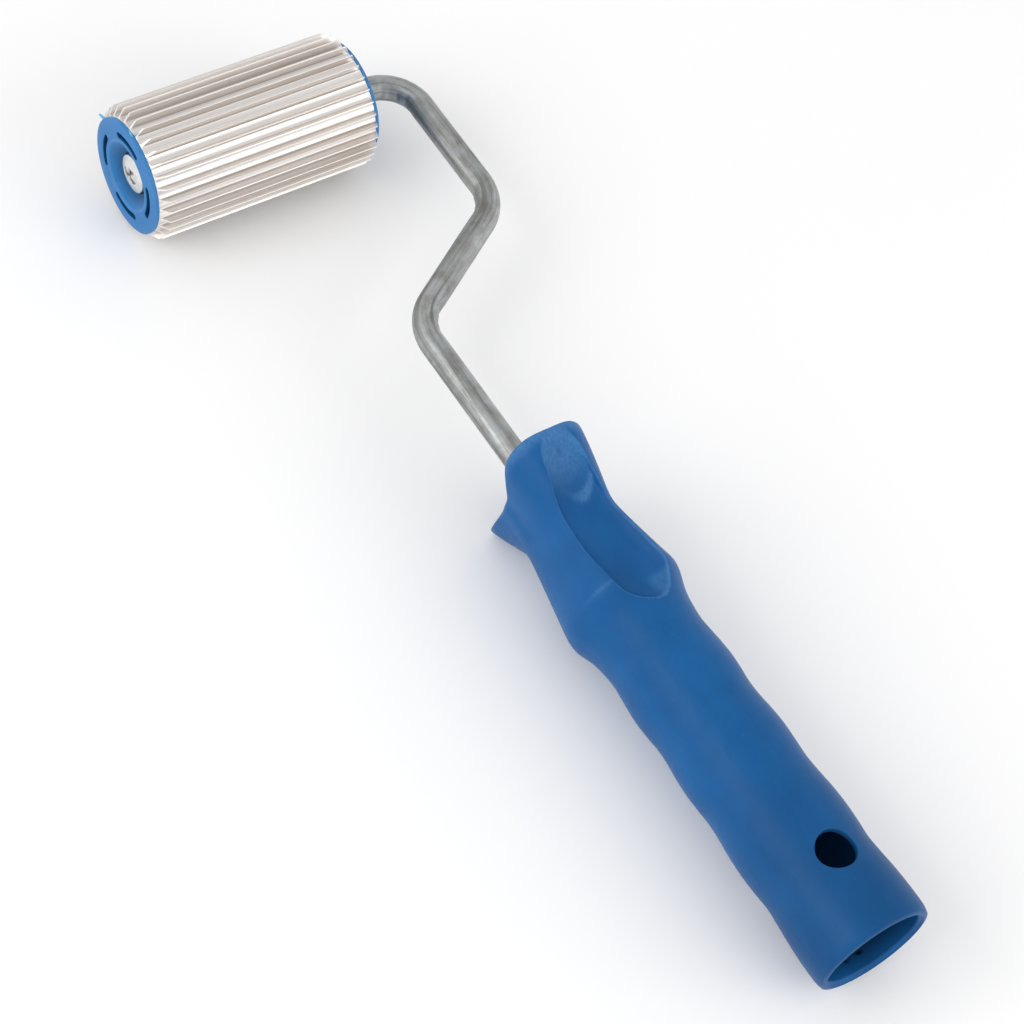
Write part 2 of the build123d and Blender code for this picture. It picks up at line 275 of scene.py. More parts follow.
def blue_plastic(name, deep, pale, gloss, pale_wear_and_sheen, shine=0.15):
    """Satin moulded plastic: mottled, finely grained, paler where it is worn and where highlights are
    painted, darker where shade is painted.
    """
    p = Paint(name)
    cloud = p.noise((70, 45, 70), detail=3.0)
    grain = p.noise((1500, 1500, 1500), detail=3.0, rough=0.6)
    scuff_and_sheen = p.noise((1500, 190, 1500), detail=4.0, rough=0.65, warp=0.6)
    _, wear_and_light = p.attribute("wear_and_painted_light")
    tint = p.over(deep, pale, cloud, 0.32, 0.7)
    tint = p.over(tint, pale_wear_and_sheen, grain, 0.62, 0.8, 0.16)
    # Paler by the first point value: rubbed plastic and painted highlights, broken up by the scuff
    # noise.
    rubbed_and_lit = p.combine("MULTIPLY", wear_and_light[0], p.spread(scuff_and_sheen, 0.3, 0.72, 0.35, 1.0))
    tint = p.blend(p.combine("MULTIPLY", rubbed_and_lit, 0.65), tint, pale_wear_and_sheen)
    # Darker by the second point value: painted shade, and on the handle also the gate mark's own tone.
    tint = p.blend(wear_and_light[1], tint, tuple(0.25 * v for v in deep))
    rough = p.spread(scuff_and_sheen, 0.3, 0.75, gloss - 0.05, gloss + 0.09)
    rough = p.combine("ADD", rough, p.spread(grain, 0.3, 0.7, -0.03, 0.05))
    normal = p.bump(cloud, 0.00012)
    normal = p.bump(grain, 0.000018, normal)
    normal = p.bump(scuff_and_sheen, 0.000008, normal)
    return p.finish(tint, rough, normal, IOR=1.49, Specular_IOR_Level=shine)


def zinc_plate(name):
    """Zinc-plated drawn wire: streaks and scratches along its run, dull patches."""
    p = Paint(name)
    run, _ = p.attribute("run")
    streak = p.noise((2.6, 0.03, 2.6), run, detail=5.0, rough=0.62, warp=0.3)
    fine = p.noise((11.0, 0.12, 11.0), run, detail=4.0, rough=0.65)
    patch = p.noise((160, 160, 160), detail=5.0, rough=0.62, warp=0.4)
    speck = p.noise((1300, 1300, 1300), detail=3.0)
    cool, warm = (0.46, 0.485, 0.49), (0.33, 0.325, 0.30)
    drawn_line, stain = (0.16, 0.16, 0.152), (0.22, 0.215, 0.20)
    gleam, scratch = (0.70, 0.73, 0.75), (0.15, 0.15, 0.145)
    tint = p.over(cool, warm, patch, 0.38, 0.66)
    tint = p.over(tint, drawn_line, streak, 0.44, 0.66, 0.7)
    tint = p.over(tint, stain, speck, 0.6, 0.72, 0.4)
    tint = p.over(tint, gleam, fine, 0.56, 0.72, 0.35)
    tint = p.over(tint, scratch, fine, 0.42, 0.3, 0.35)
    rough = p.spread(streak, 0.3, 0.7, 0.40, 0.55)
    rough = p.combine("ADD", rough, p.spread(patch, 0.35, 0.7, -0.03, 0.1))
    normal = p.bump(streak, 0.00005)
    normal = p.bump(speck, 0.00001, normal)
    return p.finish(tint, rough, normal, Metallic=1.0)


def bare_aluminium(name):
    """Bright extruded aluminium with die lines along the roller, and painted shade low on the fins'
    sides.
    """
    p = Paint(name)
    _, fin = p.attribute("fin")
    die = p.noise((3.5, 1700, 1700), detail=4.0, rough=0.6)
    cloud = p.noise((12, 190, 190), detail=4.0)
    speck = p.noise((500, 2200, 2200), detail=3.0)
    bright, dull = (0.93, 0.905, 0.88), (0.86, 0.805, 0.765)
    die_line, fleck, foot_shade_tint = (0.62, 0.585, 0.56), (0.60, 0.58, 0.56), (0.42, 0.375, 0.345)
    tint = p.over(bright, dull, cloud, 0.35, 0.68)
    tint = p.over(tint, die_line, die, 0.5, 0.68, 0.6)
    tint = p.over(tint, fleck, speck, 0.66, 0.8, 0.3)
    # Painted shade near the feet of the fins, broken up by the die lines.
    foot_shade = p.combine("MULTIPLY", fin[0], p.spread(die, 0.3, 0.7, 0.75, 1.0))
    tint = p.blend(foot_shade, tint, foot_shade_tint)
    rough = p.spread(die, 0.3, 0.72, 0.3, 0.42)
    normal = p.bump(die, 0.000010)
    normal = p.bump(speck, 0.000003, normal)
    return p.finish(tint, rough, normal, Metallic=1.0)


def bright_steel(name, tint_a, tint_b, roughness):
    """Small plated steel parts: mottled, lightly scratched."""
    p = Paint(name)
    cloud = p.noise((420, 420, 420), detail=4.0, rough=0.6)
    scratch = p.noise((2600, 300, 900), detail=4.0, rough=0.6)
    _, marks = p.attribute("marks")
    punched = (0.07, 0.07, 0.075)
    tint = p.blend(marks[0], p.over(tint_a, tint_b, cloud, 0.36, 0.66), punched)
    rough = p.spread(scratch, 0.3, 0.7, roughness - 0.05, roughness + 0.1)
    normal = p.bump(scratch, 0.00001)
    return p.finish(tint, rough, normal, Metallic=1.0)


HANDLE_BLUE = blue_plastic("handle_blue", (0.0055, 0.086, 0.262), (0.0085, 0.112, 0.328),
                           0.40, (0.10, 0.26, 0.52))
CAP_BLUE = blue_plastic("cap_blue", (0.017, 0.152, 0.395), (0.022, 0.176, 0.45),
                        0.34, (0.16, 0.38, 0.70))
FLASH_BLUE = blue_plastic("flash_blue", (0.12, 0.42, 0.68), (0.16, 0.48, 0.74),
                          0.38, (0.3, 0.6, 0.8))
ZINC = zinc_plate("zinc_steel")
ALUMINIUM = bare_aluminium("bare_aluminium")
CAP_STEEL = bright_steel("cap_steel", (0.80, 0.80, 0.79), (0.68, 0.68, 0.67), 0.42)
WASHER_STEEL = bright_steel("washer_steel", (0.62, 0.63, 0.64), (0.50, 0.51, 0.52), 0.35)

# ---- handle

MOUTH_Y = -296.8
NOSE_Y = -141.5
NOSE_R = 4.9
NOSE_FULLNESS = 0.8
RIDGE_Y = -183.6
FLARE_BULGE = 1.2
# Angle from straight up, front rim Y and radius, waist Y and radius, ridge radius.
HEAD_RIBS = [
    (0, -139.3, 24.7, -161.0, 19.2, 20.5),
    (20, -138.9, 23.8, -161.0, 17.8, 19.9),
    (35, -139.6, 21.0, -160.6, 15.6, 19.2),
    (50, -141.7, 16.0, -160.0, 13.7, 18.4),
    (70, -144.2, 12.5, -158.8, 12.4, 17.6),
    (90, -144.9, 12.1, -157.6, 12.2, 17.3),
    (110, -144.2, 12.8, -156.6, 12.4, 17.3),
    (130, -142.0, 15.7, -156.0, 12.9, 17.7),
    (143, -140.5, 18.7, -156.0, 13.3, 18.0),
    (152, -139.3, 20.7, -156.0, 13.6, 18.2),
    (164, -138.6, 20.7, -156.0, 13.9, 18.4),
    (180, -138.4, 19.9, -156.0, 14.0, 18.5),
]
# Distance along Y, half width, half height.
GRIP = [
    (-186.2, 16.75, 19.4),
    (-188.4, 15.95, 18.4),
    (-190.8, 15.2, 17.45),
    (-193.6, 14.65, 16.7),
    (-196.6, 14.3, 16.15),
    (-200.5, 14.1, 15.8),
    (-204.5, 14.4, 16.0),
    (-208.5, 14.8, 16.2),
    (-212.8, 15.05, 16.25),
    (-217.0, 14.9, 15.95),
    (-222.0, 14.55, 15.45),
    (-226.5, 14.75, 15.45),
    (-231.5, 15.25, 15.85),
    (-236.2, 15.5, 15.9),
    (-241.2, 15.35, 15.65),
    (-246.6, 15.15, 15.3),
    (-251.3, 15.45, 15.5),
    (-256.2, 15.9, 15.9),
    (-262.0, 16.1, 16.1),
    (-267.2, 15.95, 15.95),
    (-272.6, 15.6, 15.6),
    (-277.4, 15.9, 15.9),
    (-282.2, 16.3, 16.3),
    (-287.2, 16.55, 16.55),
    (-292.0, 16.6, 16.6),
    (-294.6, 16.5, 16.5),
    (-295.9, 16.2, 16.2),
    (-296.6, 15.7, 15.7),
    (-296.8, 15.0, 15.0),
]
# Distance along Y, middle along X, rim half width, rim height, floor height.
SCOOP = [
    (-134.0, 2.9, 6.5, 31.0, 29.0),
    (-140.0, 1.9, 6.5, 26.0, 24.45),
    (-145.0, 1.0, 6.3, 22.9, 21.6),
    (-149.0, 0.4, 6.2, 20.6, 18.7),
    (-153.0, 0.1, 6.5, 18.4, 15.9),
    (-157.0, 0.0, 7.0, 16.8, 13.9),
    (-161.0, 0.1, 7.5, 16.2, 12.8),
    (-166.0, 0.2, 8.0, 16.2, 12.2),
    (-173.0, 0.5, 8.8, 17.2, 12.0),
    (-180.0, 1.1, 9.2, 18.3, 12.4),
    (-185.0, 1.5, 9.0, 18.6, 13.0),
    (-189.0, 1.8, 7.6, 18.3, 13.9),
    (-191.6, 2.4, 5.6, 18.2, 15.1),
    (-193.2, 2.8, 3.4, 18.2, 16.2),
    (-194.2, 3.0, 1.4, 18.4, 17.2),
]
SCOOP_TOP_Z = 44.0
SCOOP_RIM_ROUND = 0.5
SCOOP_STEP = 0.15
SCOOP_DEEPEST = 14.0

SOCKET_R = 13.7
SOCKET_END_Y = MOUTH_Y + 70.0
MOUTH_CHAMFER = 1.0
MOUTH_ROUND = 0.12
CORE_CAVITY_R = 11.6
CORE_CAVITY_END_Y = -197.0
WIRE_BORE_R = 3.86
HANG_HOLE_R = 5.4
HANG_HOLE_Y = -273.5
HANG_LIP = 0.35
INNER_LIP = 0.25
HANG_WINDOW = 8.0
HANG_ROW = 0.5

# Columns run round the handle: a fine sector over the top, and the rest.
TOP_HALF = 42.0
TOP_FINE = 840
TOP_COLS = 120
REST_STEP = 2.0
REST_COLS = int((360 - 2 * TOP_HALF) / REST_STEP)
TOP_ANGLES = np.linspace(-TOP_HALF, TOP_HALF, TOP_FINE + 1)
REST_ANGLES = TOP_HALF + REST_STEP * np.arange(REST_COLS + 1)
INNER_ANGLES = np.concatenate([np.linspace(-TOP_HALF, TOP_HALF, TOP_COLS + 1)[:-1],
                               REST_ANGLES[:-1]])


def folded(angles):
    """Angle from straight up, the same on both sides."""
    return np.abs((np.asarray(angles) + 180) % 360 - 180)


def polar_rows(angles, radius, y):
    """Points at angles from straight up, round the handle's axis."""
    a = np.radians(angles)
    y = np.broadcast_to(y, a.shape)
    return np.stack([radius * np.sin(a), y, radius * np.cos(a)], axis=-1)


def grip_rows():
    """Distances along Y of the grip's rings, close together where detail is."""
    near_scoop = np.arange(-185.0, -196.0, -0.55)
    grip = np.arange(-196.4, HANG_HOLE_Y + HANG_WINDOW, -0.9)
    hole = np.linspace(HANG_HOLE_Y + HANG_WINDOW, HANG_HOLE_Y - HANG_WINDOW,
                       int(2 * HANG_WINDOW / HANG_ROW) + 1)
    tail = np.arange(HANG_HOLE_Y - HANG_WINDOW - 0.8, -293.8, -0.8)
    lip = np.array([-294.2, -294.8, -295.3, -295.7, -296.05, -296.3, -296.5, -296.65, -296.75])
    first_hole_row = len(near_scoop) + len(grip)
    rows = np.concatenate([near_scoop, grip, hole, tail, lip, [MOUTH_Y]])
    return rows, first_hole_row, first_hole_row + len(hole) - 1


def outer_profile(angles):
    """Rings of the handle's outer skin from the nose to the mouth, before the scoop."""
    ribs = [smooth_at(HEAD_RIBS, c, folded(angles)) for c in range(1, 6)]
    rim_y, rim_r, waist_y, waist_r, ridge_r = ribs
    rings = []
    weights = []    # how freely each ring eases towards its neighbours
    for u in np.linspace(1.0, 0.0, 31):
        swell = max(math.cos(u * math.pi / 2), 0.0) ** NOSE_FULLNESS
        radius = NOSE_R + (rim_r - NOSE_R) * swell
        y = rim_y + (NOSE_Y - rim_y) * math.sin(u * math.pi / 2)
        rings.append(polar_rows(angles, radius, y))
        weights.append(0.0 if u > 0.95 else 0.35)
    for t in np.linspace(0.0, 1.0, 35)[1:]:
        radius = rim_r + (waist_r - rim_r) * t ** FLARE_BULGE
        rings.append(polar_rows(angles, radius, rim_y + (waist_y - rim_y) * t))
        weights.append(0.35 if t < 0.2 else (0.9 if t > 0.75 else 0.5))
    for t in np.linspace(0.0, 1.0, 41)[1:]:
        radius = waist_r + (ridge_r - waist_r) * t
        rings.append(polar_rows(angles, radius, waist_y + (RIDGE_Y - waist_y) * t))
        weights.append(0.9 if t < 0.2 else (0.16 if t > 0.9 else 0.5))
    rows, hole_0, hole_1 = grip_rows()
    start = len(rings)
    a = np.radians(angles)
    ridge_h = smooth_at(HEAD_RIBS, 5, folded(angles))
    for y in rows:
        t = min(max((y - RIDGE_Y) / (GRIP[0][0] - RIDGE_Y), 0.0), 1.0)
        half_w = smooth_at(GRIP, 1, y)
        half_h = smooth_at(GRIP, 2, y)
        oval = np.stack([half_w * np.sin(a), np.full(a.shape, y), half_h * np.cos(a)], axis=-1)
        if t < 1.0:
            oval = polar_rows(angles, ridge_h, y) * (1 - t) + oval * t
            oval[:, 1] = y
        rings.append(oval)
        weights.append(0.16 if y > -188 else 0.0)
    points = np.array(rings)
    ease = np.array(weights)[1:-1, None, None]
    for _ in range(14):
        points[1:-1] += ease * 0.5 * (points[:-2] + points[2:] - 2 * points[1:-1])
    return points, start + hole_0, start + hole_1


def scoop_field(x, y, z):
    """Distance outside the thumb trough's section at y, negative inside it."""
    x = x - smooth_at(SCOOP, 1, y)
    half_w = smooth_at(SCOOP, 2, y)
    rim = smooth_at(SCOOP, 3, y)
    floor = smooth_at(SCOOP, 4, y)
    half_h = np.where(z > rim, SCOOP_TOP_Z - rim, rim - floor)
    e = np.sqrt((x / half_w) ** 2 + ((z - rim) / half_h) ** 2) + 1e-9
    grade = np.sqrt((x / half_w ** 2) ** 2 + ((z - rim) / half_h ** 2) ** 2) / e + 1e-9
    return (e - 1) / grade


def carve(ring):
    """Top sector of one ring with the thumb trough taken out; also the depth taken."""
    radius = np.hypot(ring[:, 0], ring[:, 2])
    side = ring[:, 0] / radius
    up = ring[:, 2] / radius
    steps = np.arange(-0.3, SCOOP_DEEPEST, SCOOP_STEP)
    r = radius[:, None] - steps[None, :]
    y = np.repeat(ring[:, 1][:, None], len(steps), axis=1)
    trough = scoop_field(r * side[:, None], y, r * up[:, None])
    solid = smooth_max(r - radius[:, None], -trough, SCOOP_RIM_ROUND)
    first = np.argmax(solid < 0, axis=1)
    rows = np.arange(len(radius))
    inside = solid[rows, first]
    outside = solid[rows, first - 1]
    cut = r[rows, first] + SCOOP_STEP * inside / (inside - outside)
    cut = np.minimum(cut, radius)
    carved = np.stack([cut * side, ring[:, 1], cut * up], axis=-1)
    return carved, radius - cut


def even_out(curve, extra, count):
    """count + 1 points at equal distances along a curve, with a value for each."""
    run = run_along(curve)
    at = np.linspace(0, run[-1], count + 1)
    points = np.stack([np.interp(at, run, curve[:, k]) for k in range(3)], axis=-1)
    return points, np.interp(at, run, extra)


def handle_outer():
    """Grid of the outer skin and the depth of the scoop at each point."""
    top, hole_0, hole_1 = outer_profile(TOP_ANGLES)
    rest, _, _ = outer_profile(REST_ANGLES)
    grid = []
    depth = []
    for top_ring, rest_ring in zip(top, rest):
        taken = np.zeros(len(top_ring))
        if -195.0 < top_ring[:, 1].mean() < -133.0:
            top_ring, taken = carve(top_ring)
        top_even, taken = even_out(top_ring, taken, TOP_COLS)
        grid.append(np.concatenate([top_even[:-1], rest_ring[:-1]]))
        depth.append(np.concatenate([taken[:-1], np.zeros(REST_COLS)]))
    return np.array(grid), np.array(depth), hole_0, hole_1


def grip_surface(x, y, sign):
    """Height of the grip's outer skin over (x, y)."""
    half_w = smooth_at(GRIP, 1, y)
    half_h = smooth_at(GRIP, 2, y)
    return sign * half_h * np.sqrt(np.clip(1 - (x / half_w) ** 2, 0, None))


def bore_surface(x, y, sign):
    """Height of the socket's wall over (x, y), the same at every y."""
    return sign * np.sqrt(SOCKET_R ** 2 - x ** 2)


def hole_rings(edge, lip, surface, sign, count):
    """Rings from a window's edge in to the hang hole, then over its rounded lip."""
    turn = np.arctan2(edge[:, 1] - HANG_HOLE_Y, edge[:, 0])
    rings = []
    goal_r = HANG_HOLE_R + lip
    goal = np.stack([goal_r * np.cos(turn), HANG_HOLE_Y + goal_r * np.sin(turn)], axis=-1)
    for k in range(1, count + 1):
        t = k / count
        t = t * (2 - t) if count > 4 else t
        xy = edge[:, :2] * (1 - t) + goal * t
        rings.append(np.column_stack([xy, surface(xy[:, 0], xy[:, 1], sign)]))
    at_edge = surface(goal[:, 0], goal[:, 1], sign)
    toward = -sign if surface is grip_surface else sign
    for a in np.radians([15, 30, 45, 60, 75, 90]):
        r = HANG_HOLE_R + lip * (1 - math.sin(a))
        x = r * np.cos(turn)
        y = HANG_HOLE_Y + r * np.sin(turn)
        level = at_edge * math.sin(a) + surface(x, y, sign) * (1 - math.sin(a))
        rings.append(np.column_stack([x, y, level + toward * lip * (1 - math.cos(a))]))
    return rings


def inner_rows(outer_rows, hole_0, hole_1):
    """Distances and radii of the inside from the mouth to the nose."""
    hole = outer_rows[hole_0:hole_1 + 1][::-1]
    mouth_r = SOCKET_R + MOUTH_CHAMFER
    rows = [(MOUTH_Y + MOUTH_ROUND - MOUTH_ROUND * math.cos(a),
             mouth_r + MOUTH_ROUND * (1 - math.sin(a))) for a in np.radians([0, 30, 60, 90])]
    rows += [(MOUTH_Y + MOUTH_ROUND + MOUTH_CHAMFER * k / 4, SOCKET_R + MOUTH_CHAMFER * (1 - k / 4))
             for k in (1, 2, 3, 4)]
    rows += [(y, SOCKET_R) for y in np.arange(MOUTH_Y + 1.5, hole[0] - 0.2, 0.4)]
    first = len(rows)
    rows += [(y, SOCKET_R) for y in hole]
    last = len(rows) - 1
    rows += [(y, SOCKET_R) for y in np.arange(hole[-1] + 1.2, SOCKET_END_Y - 0.5, 1.5)]
    rows += [(SOCKET_END_Y, SOCKET_R), (SOCKET_END_Y, SOCKET_R - 0.02)]
    rows += [(SOCKET_END_Y, CORE_CAVITY_R + 0.02), (SOCKET_END_Y, CORE_CAVITY_R)]
    rows += [(y, CORE_CAVITY_R) for y in np.arange(SOCKET_END_Y + 2, CORE_CAVITY_END_Y - 1, 3.0)]
    rows += [(CORE_CAVITY_END_Y, CORE_CAVITY_R), (CORE_CAVITY_END_Y, 8.0)]
    rows += [(CORE_CAVITY_END_Y, WIRE_BORE_R)]
    rows += [(y, WIRE_BORE_R) for y in np.arange(CORE_CAVITY_END_Y + 4, NOSE_Y - 3, 4.0)]
    rows += [(NOSE_Y - 1.0, WIRE_BORE_R), (NOSE_Y - 0.5, WIRE_BORE_R + 0.04),
             (NOSE_Y - 0.2, WIRE_BORE_R + 0.18), (NOSE_Y - 0.04, WIRE_BORE_R + 0.42)]
    return rows, first, last


GATE_Y = -145.6
# Pits in the socket's floor near the mouth: X, distance along Y, radius.
PITS = [(3.1, -291.3, 0.95), (-1.0, -291.8, 0.6)]
PIT_DEPTH = 0.7


def tail_shade(y):
    """Painted shade: how much darker the colour gets towards the mouth."""
    return 0.28 * smoothstep(-225.0, -290.0, y)


def make_handle():
    """The hollow moulded handle as one closed skin."""
    skin = Skin()
    outer, depth, hole_0, hole_1 = handle_outer()
    x, y, z = outer[..., 0], outer[..., 1], outer[..., 2]

    # The moulding's gate mark: a shallow ring-shaped scar on the scoop's ramp.
    gate = np.sqrt(x ** 2 + (y - GATE_Y) ** 2)
    near = z > 15
    outer[..., 2] -= near * (0.12 * hump(gate, 0.0, 0.45) - 0.07 * hump(gate, 0.85, 0.25))

    # Paler: painted highlights along the scoop's rims, ramp, hollow and end, and the head's edges, with
    # rubbed plastic mixed in.
    rim = smoothstep(0.02, 0.12, depth) * (1 - smoothstep(0.5, 1.3, depth))
    ramp = smoothstep(0.6, 1.2, depth) * smoothstep(-156.0, -147.0, y) * 0.75
    arc = y - 0.16 * (x - 1.5) ** 2
    hollow = 1.6 * hump(arc, -157.0, 1.3) * hump(x, 3.4, 3.8) * smoothstep(1.0, 2.0, depth)
    end_wall = smoothstep(-184.5, -187.0, y) * smoothstep(0.3, 1.0, depth) * smoothstep(1.5, 5.0, x)
    ridge = hump(y, RIDGE_Y - 0.4, 0.5) * hump(x, -10.5, 3.5) * (z > 0)
    crown = smoothstep(-143.5, -140.5, y) * smoothstep(8.0, 20.0, np.hypot(x, z)) * 0.6
    lip = hump(y, -139.5, 1.6) * smoothstep(9.0, 16.0, np.hypot(x, z)) * (z > 0)
    wear_and_painted_light = np.clip(0.9 * rim + ramp + hollow + 0.6 * end_wall + 0.5 * ridge + crown + 0.5 * lip, 0, 1)
    # Darker: the gate mark's own tone, and painted shade that deepens towards the mouth.
    gate_mark_and_shade = np.clip(0.3 * near * hump(gate, 0.3, 0.4) + tail_shade(y), 0, 1)
    grid = skin.add(outer, wear_and_painted_light, gate_mark_and_shade)

    rows, in_0, in_1 = inner_rows(outer[:, 0, 1], hole_0, hole_1)
    inner = np.array([polar_rows(INNER_ANGLES, r, yy) for yy, r in rows])
    pit = np.zeros(inner.shape[:2])
    for pit_x, pit_y, pit_r in PITS:
        away = np.sqrt((inner[..., 0] - pit_x) ** 2 + (inner[..., 1] - pit_y) ** 2)
        pit += (inner[..., 2] < 0) * (1 - smoothstep(0.6 * pit_r, pit_r, away))
    bore = inner[..., [0, 2]] / np.hypot(inner[..., 0], inner[..., 2])[..., None]
    inner[..., 0] += PIT_DEPTH * pit * bore[..., 0]
    inner[..., 2] += PIT_DEPTH * pit * bore[..., 1]
    # Painted shade: the inside wall is darker than the outside, and the pits in the socket's floor are
    # darkened too.
    dull = 0.8 * smoothstep(MOUTH_Y + 1.2, MOUTH_Y + 7.0, inner[..., 1])
    inside = skin.add(inner, 0, np.maximum(pit, dull))

    # Windows for the hang hole, over the top and underneath.
    top_edge = int(round((TOP_HALF - 35.0) / (2 * TOP_HALF) * TOP_COLS))
    low_mid = TOP_COLS + int(round((180 - TOP_HALF) / REST_STEP))
    windows = [(top_edge, TOP_COLS - top_edge, 1.0), (low_mid - 18, low_mid + 18, -1.0)]
    outer_cut = [(hole_0, hole_1, c0, c1) for c0, c1, _ in windows]
    inner_cut = [(in_0, in_1, c0, c1) for c0, c1, _ in windows]
    skin.quads(grid, outer_cut)
    skin.quads(inside, inner_cut)
    skin.quads(np.stack([grid[-1], inside[0]]))
    skin.quads(np.stack([inside[-1], grid[0]]))
    for col_0, col_1, sign in windows:
        out_loop = window_loop(grid, hole_0, hole_1, col_0, col_1)
        # The inside's rows run the other way, from the mouth to the nose.
        in_loop = window_loop(inside[in_0:in_1 + 1][::-1], 0, in_1 - in_0, col_0, col_1)
        points = np.concatenate(skin.blocks)
        outer_rings = hole_rings(points[out_loop], HANG_LIP, grip_surface, sign, 8)
        inner_rings = hole_rings(points[in_loop], INNER_LIP, bore_surface, sign, 4)[::-1]
        wall = [outer_rings[-1] * (1 - t) + inner_rings[0] * t for t in (0.25, 0.5, 0.75)]
        # Painted shade down the hang hole: darker on its wall and darkest on its inner lip.
        lining_shades = [tail_shade(r[:, 1]) for r in outer_rings] + [0.5] * len(wall) + [0.8] * len(inner_rings)
        lining = zip(outer_rings + wall + inner_rings, lining_shades)
        loops = [out_loop] + [skin.add(ring, 0, lining_shade) for ring, lining_shade in lining] + [in_loop]
        skin.quads(np.array(loops))
    piece = skin.build("handle", HANDLE_BLUE, "frame", attribute="wear_and_painted_light")
    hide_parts("handle_shell")


# ---- wire

WIRE_R = 3.8
WIRE_START_X = -46.3
WIRE_CORNERS = [
    ((43.65, 0.0), 12.0),
    ((43.65, -52.9), 16.0),
    ((0.0, -80.3), 16.0),
]
WIRE_TAIL_Y = -201.0
WIRE_SIDES = 72
WIRE_STEP = 0.6
WIRE_CHAMFER = 0.5
NICK_Y = -121.25
NICK_TURN = 2.2
# Creases of the bending pins: place in half bends from the bend's middle, depth.
CREASES = [(-0.55, 0.22), (0.12, 0.12), (0.6, 0.26)]


def wire_centreline():
    """Evenly spaced points along the bent wire, its side directions, and bend places."""
    points = [np.array([WIRE_START_X, 0.0])]
    bends = []
    run = 0.0
    corners = [np.array(c) for c, _ in WIRE_CORNERS] + [np.array([0.0, WIRE_TAIL_Y])]
    before = points[0]
    for i, (corner, radius) in enumerate(WIRE_CORNERS):
        corner = np.array(corner)
        to_before = unit(before - corner)
        to_after = unit(corners[i + 1] - corner)
        half = math.acos(float(np.clip(to_before @ to_after, -1, 1))) / 2
        tangent = radius / math.tan(half)
        start = corner + to_before * tangent
        end = corner + to_after * tangent
        middle = unit(to_before + to_after)
        centre = corner + middle * (radius / math.sin(half))
        run += np.linalg.norm(start - points[-1])
        points.append(start)
        e = start - centre
        f = end - centre
        sweep = math.pi - 2 * half
        steps = max(int(radius * sweep / 0.15), 4)
        for k in range(1, steps + 1):
            s = k / steps
            points.append(centre + (math.sin((1 - s) * sweep) * e + math.sin(s * sweep) * f)
                          / math.sin(sweep))
        inward = 1.0 if (to_before[0] * to_after[1] - to_before[1] * to_after[0]) > 0 else -1.0
        bends.append((run + radius * sweep / 2, radius * sweep / 2, inward))
        run += radius * sweep
        before = end
    points.append(corners[-1])
    line = np.array(points)
    length = run_along(line)
    at = np.linspace(0, length[-1], int(length[-1] / WIRE_STEP) + 1)
    even = np.stack([np.interp(at, length, line[:, k]) for k in (0, 1)], axis=-1)
    along = np.gradient(even, axis=0)
    along /= np.linalg.norm(along, axis=1)[:, None]
    side = np.stack([along[:, 1], -along[:, 0]], axis=-1)
    return even, side, at, bends


def make_wire():
    """Bent wire with slightly flattened bends, tool marks and a small nick."""
    centre, side, at, bends = wire_centreline()
    turn = 2 * np.pi * np.arange(WIRE_SIDES) / WIRE_SIDES
    radial = np.full((len(at), WIRE_SIDES), WIRE_R)
    lateral = np.cos(turn)[None, :]
    upward = np.sin(turn)[None, :]
    s = at[:, None]
    for middle, half, inward in bends:
        bend = smoothstep(-half - 2.0, -half + 3.0, s - middle)
        bend = bend * (1 - smoothstep(half - 3.0, half + 2.0, s - middle))
        inner = np.clip(lateral * inward, 0, 1)
        radial += 0.06 * bend * (np.abs(upward) ** 2 - 0.7)
        radial -= 0.16 * bend * inner ** 3
        # Creases that the bending pins leave on the inside of the bend.
        for offset, depth in CREASES:
            radial -= depth * hump(s, middle + offset * half, 0.9) * inner ** 6
            radial += 0.4 * depth * hump(s, middle + offset * half + 1.5, 0.8) * inner ** 6
        ripple = 0.5 + 0.5 * np.cos(1.9 * s + 2.0 * lateral)
        radial -= 0.05 * bend * smoothstep(0.2, 0.9, upward) * ripple
    # Drawn wire is never perfectly round: very shallow flats run along it.
    radial += 0.012 * np.cos(5 * turn + 0.6)[None, :] + 0.008 * np.cos(9 * turn + 2.0)[None, :]
    # A small nick across the wire, just in front of the handle.
    nick_s = at[np.argmin(np.abs(centre[:, 1] - NICK_Y))]
    lean = s - nick_s + 0.9 * (turn[None, :] - NICK_TURN)
    radial -= 0.16 * hump(lean, 0.0, 0.45) * hump(turn[None, :], NICK_TURN, 0.28)
    radial[[0, -1]] *= 1 - WIRE_CHAMFER / WIRE_R
    xy = centre[:, None, :] + side[:, None, :] * (radial * lateral)[..., None]
    points = np.concatenate([xy, (radial * upward)[..., None]], axis=-1)
    skin = Skin()
    grid = skin.add(points, lateral, s, upward)
    skin.quads(grid)
    for row, first in ((grid[0], 0), (grid[-1], -1)):
        middle = points[first].mean(axis=0)
        inner = skin.add(middle + (points[first] - middle) * 0.5, lateral[0], at[first], upward[0])
        skin.quads(np.stack([row, inner]))
        skin.cap(inner)
    piece = skin.build("wire", ZINC, "frame", attribute="run")
    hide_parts("frame_wire")


# ---- roller sleeve

FIN_COUNT = 33
FIN_PHASE = -3.7
FIN_TIP_R = 19.98
FIN_ROOT_R = 17.45
FIN_TIP_HALF = 0.22
FIN_BASE_HALF = 0.40
FIN_TIP_ROUND = 0.2
FIN_FOOT_ROUND = 0.34
VALLEY_DROP = 0.18
SLEEVE_BORE_R = 15.5
SLEEVE_OUT_X = -46.7
SLEEVE_IN_X = 24.45
OUTER_BEVEL = 2.2
INNER_BEVEL = 0.9
BEVEL_CLEARANCE = 0.1
BORE_CHAMFER = 0.3


def axle_ring(x, r, angles):
    """Points at angles from straight up, round the roller's axis."""
    y = r * np.sin(angles)
    return np.stack([np.broadcast_to(x, y.shape), y, r * np.cos(angles)], axis=-1)


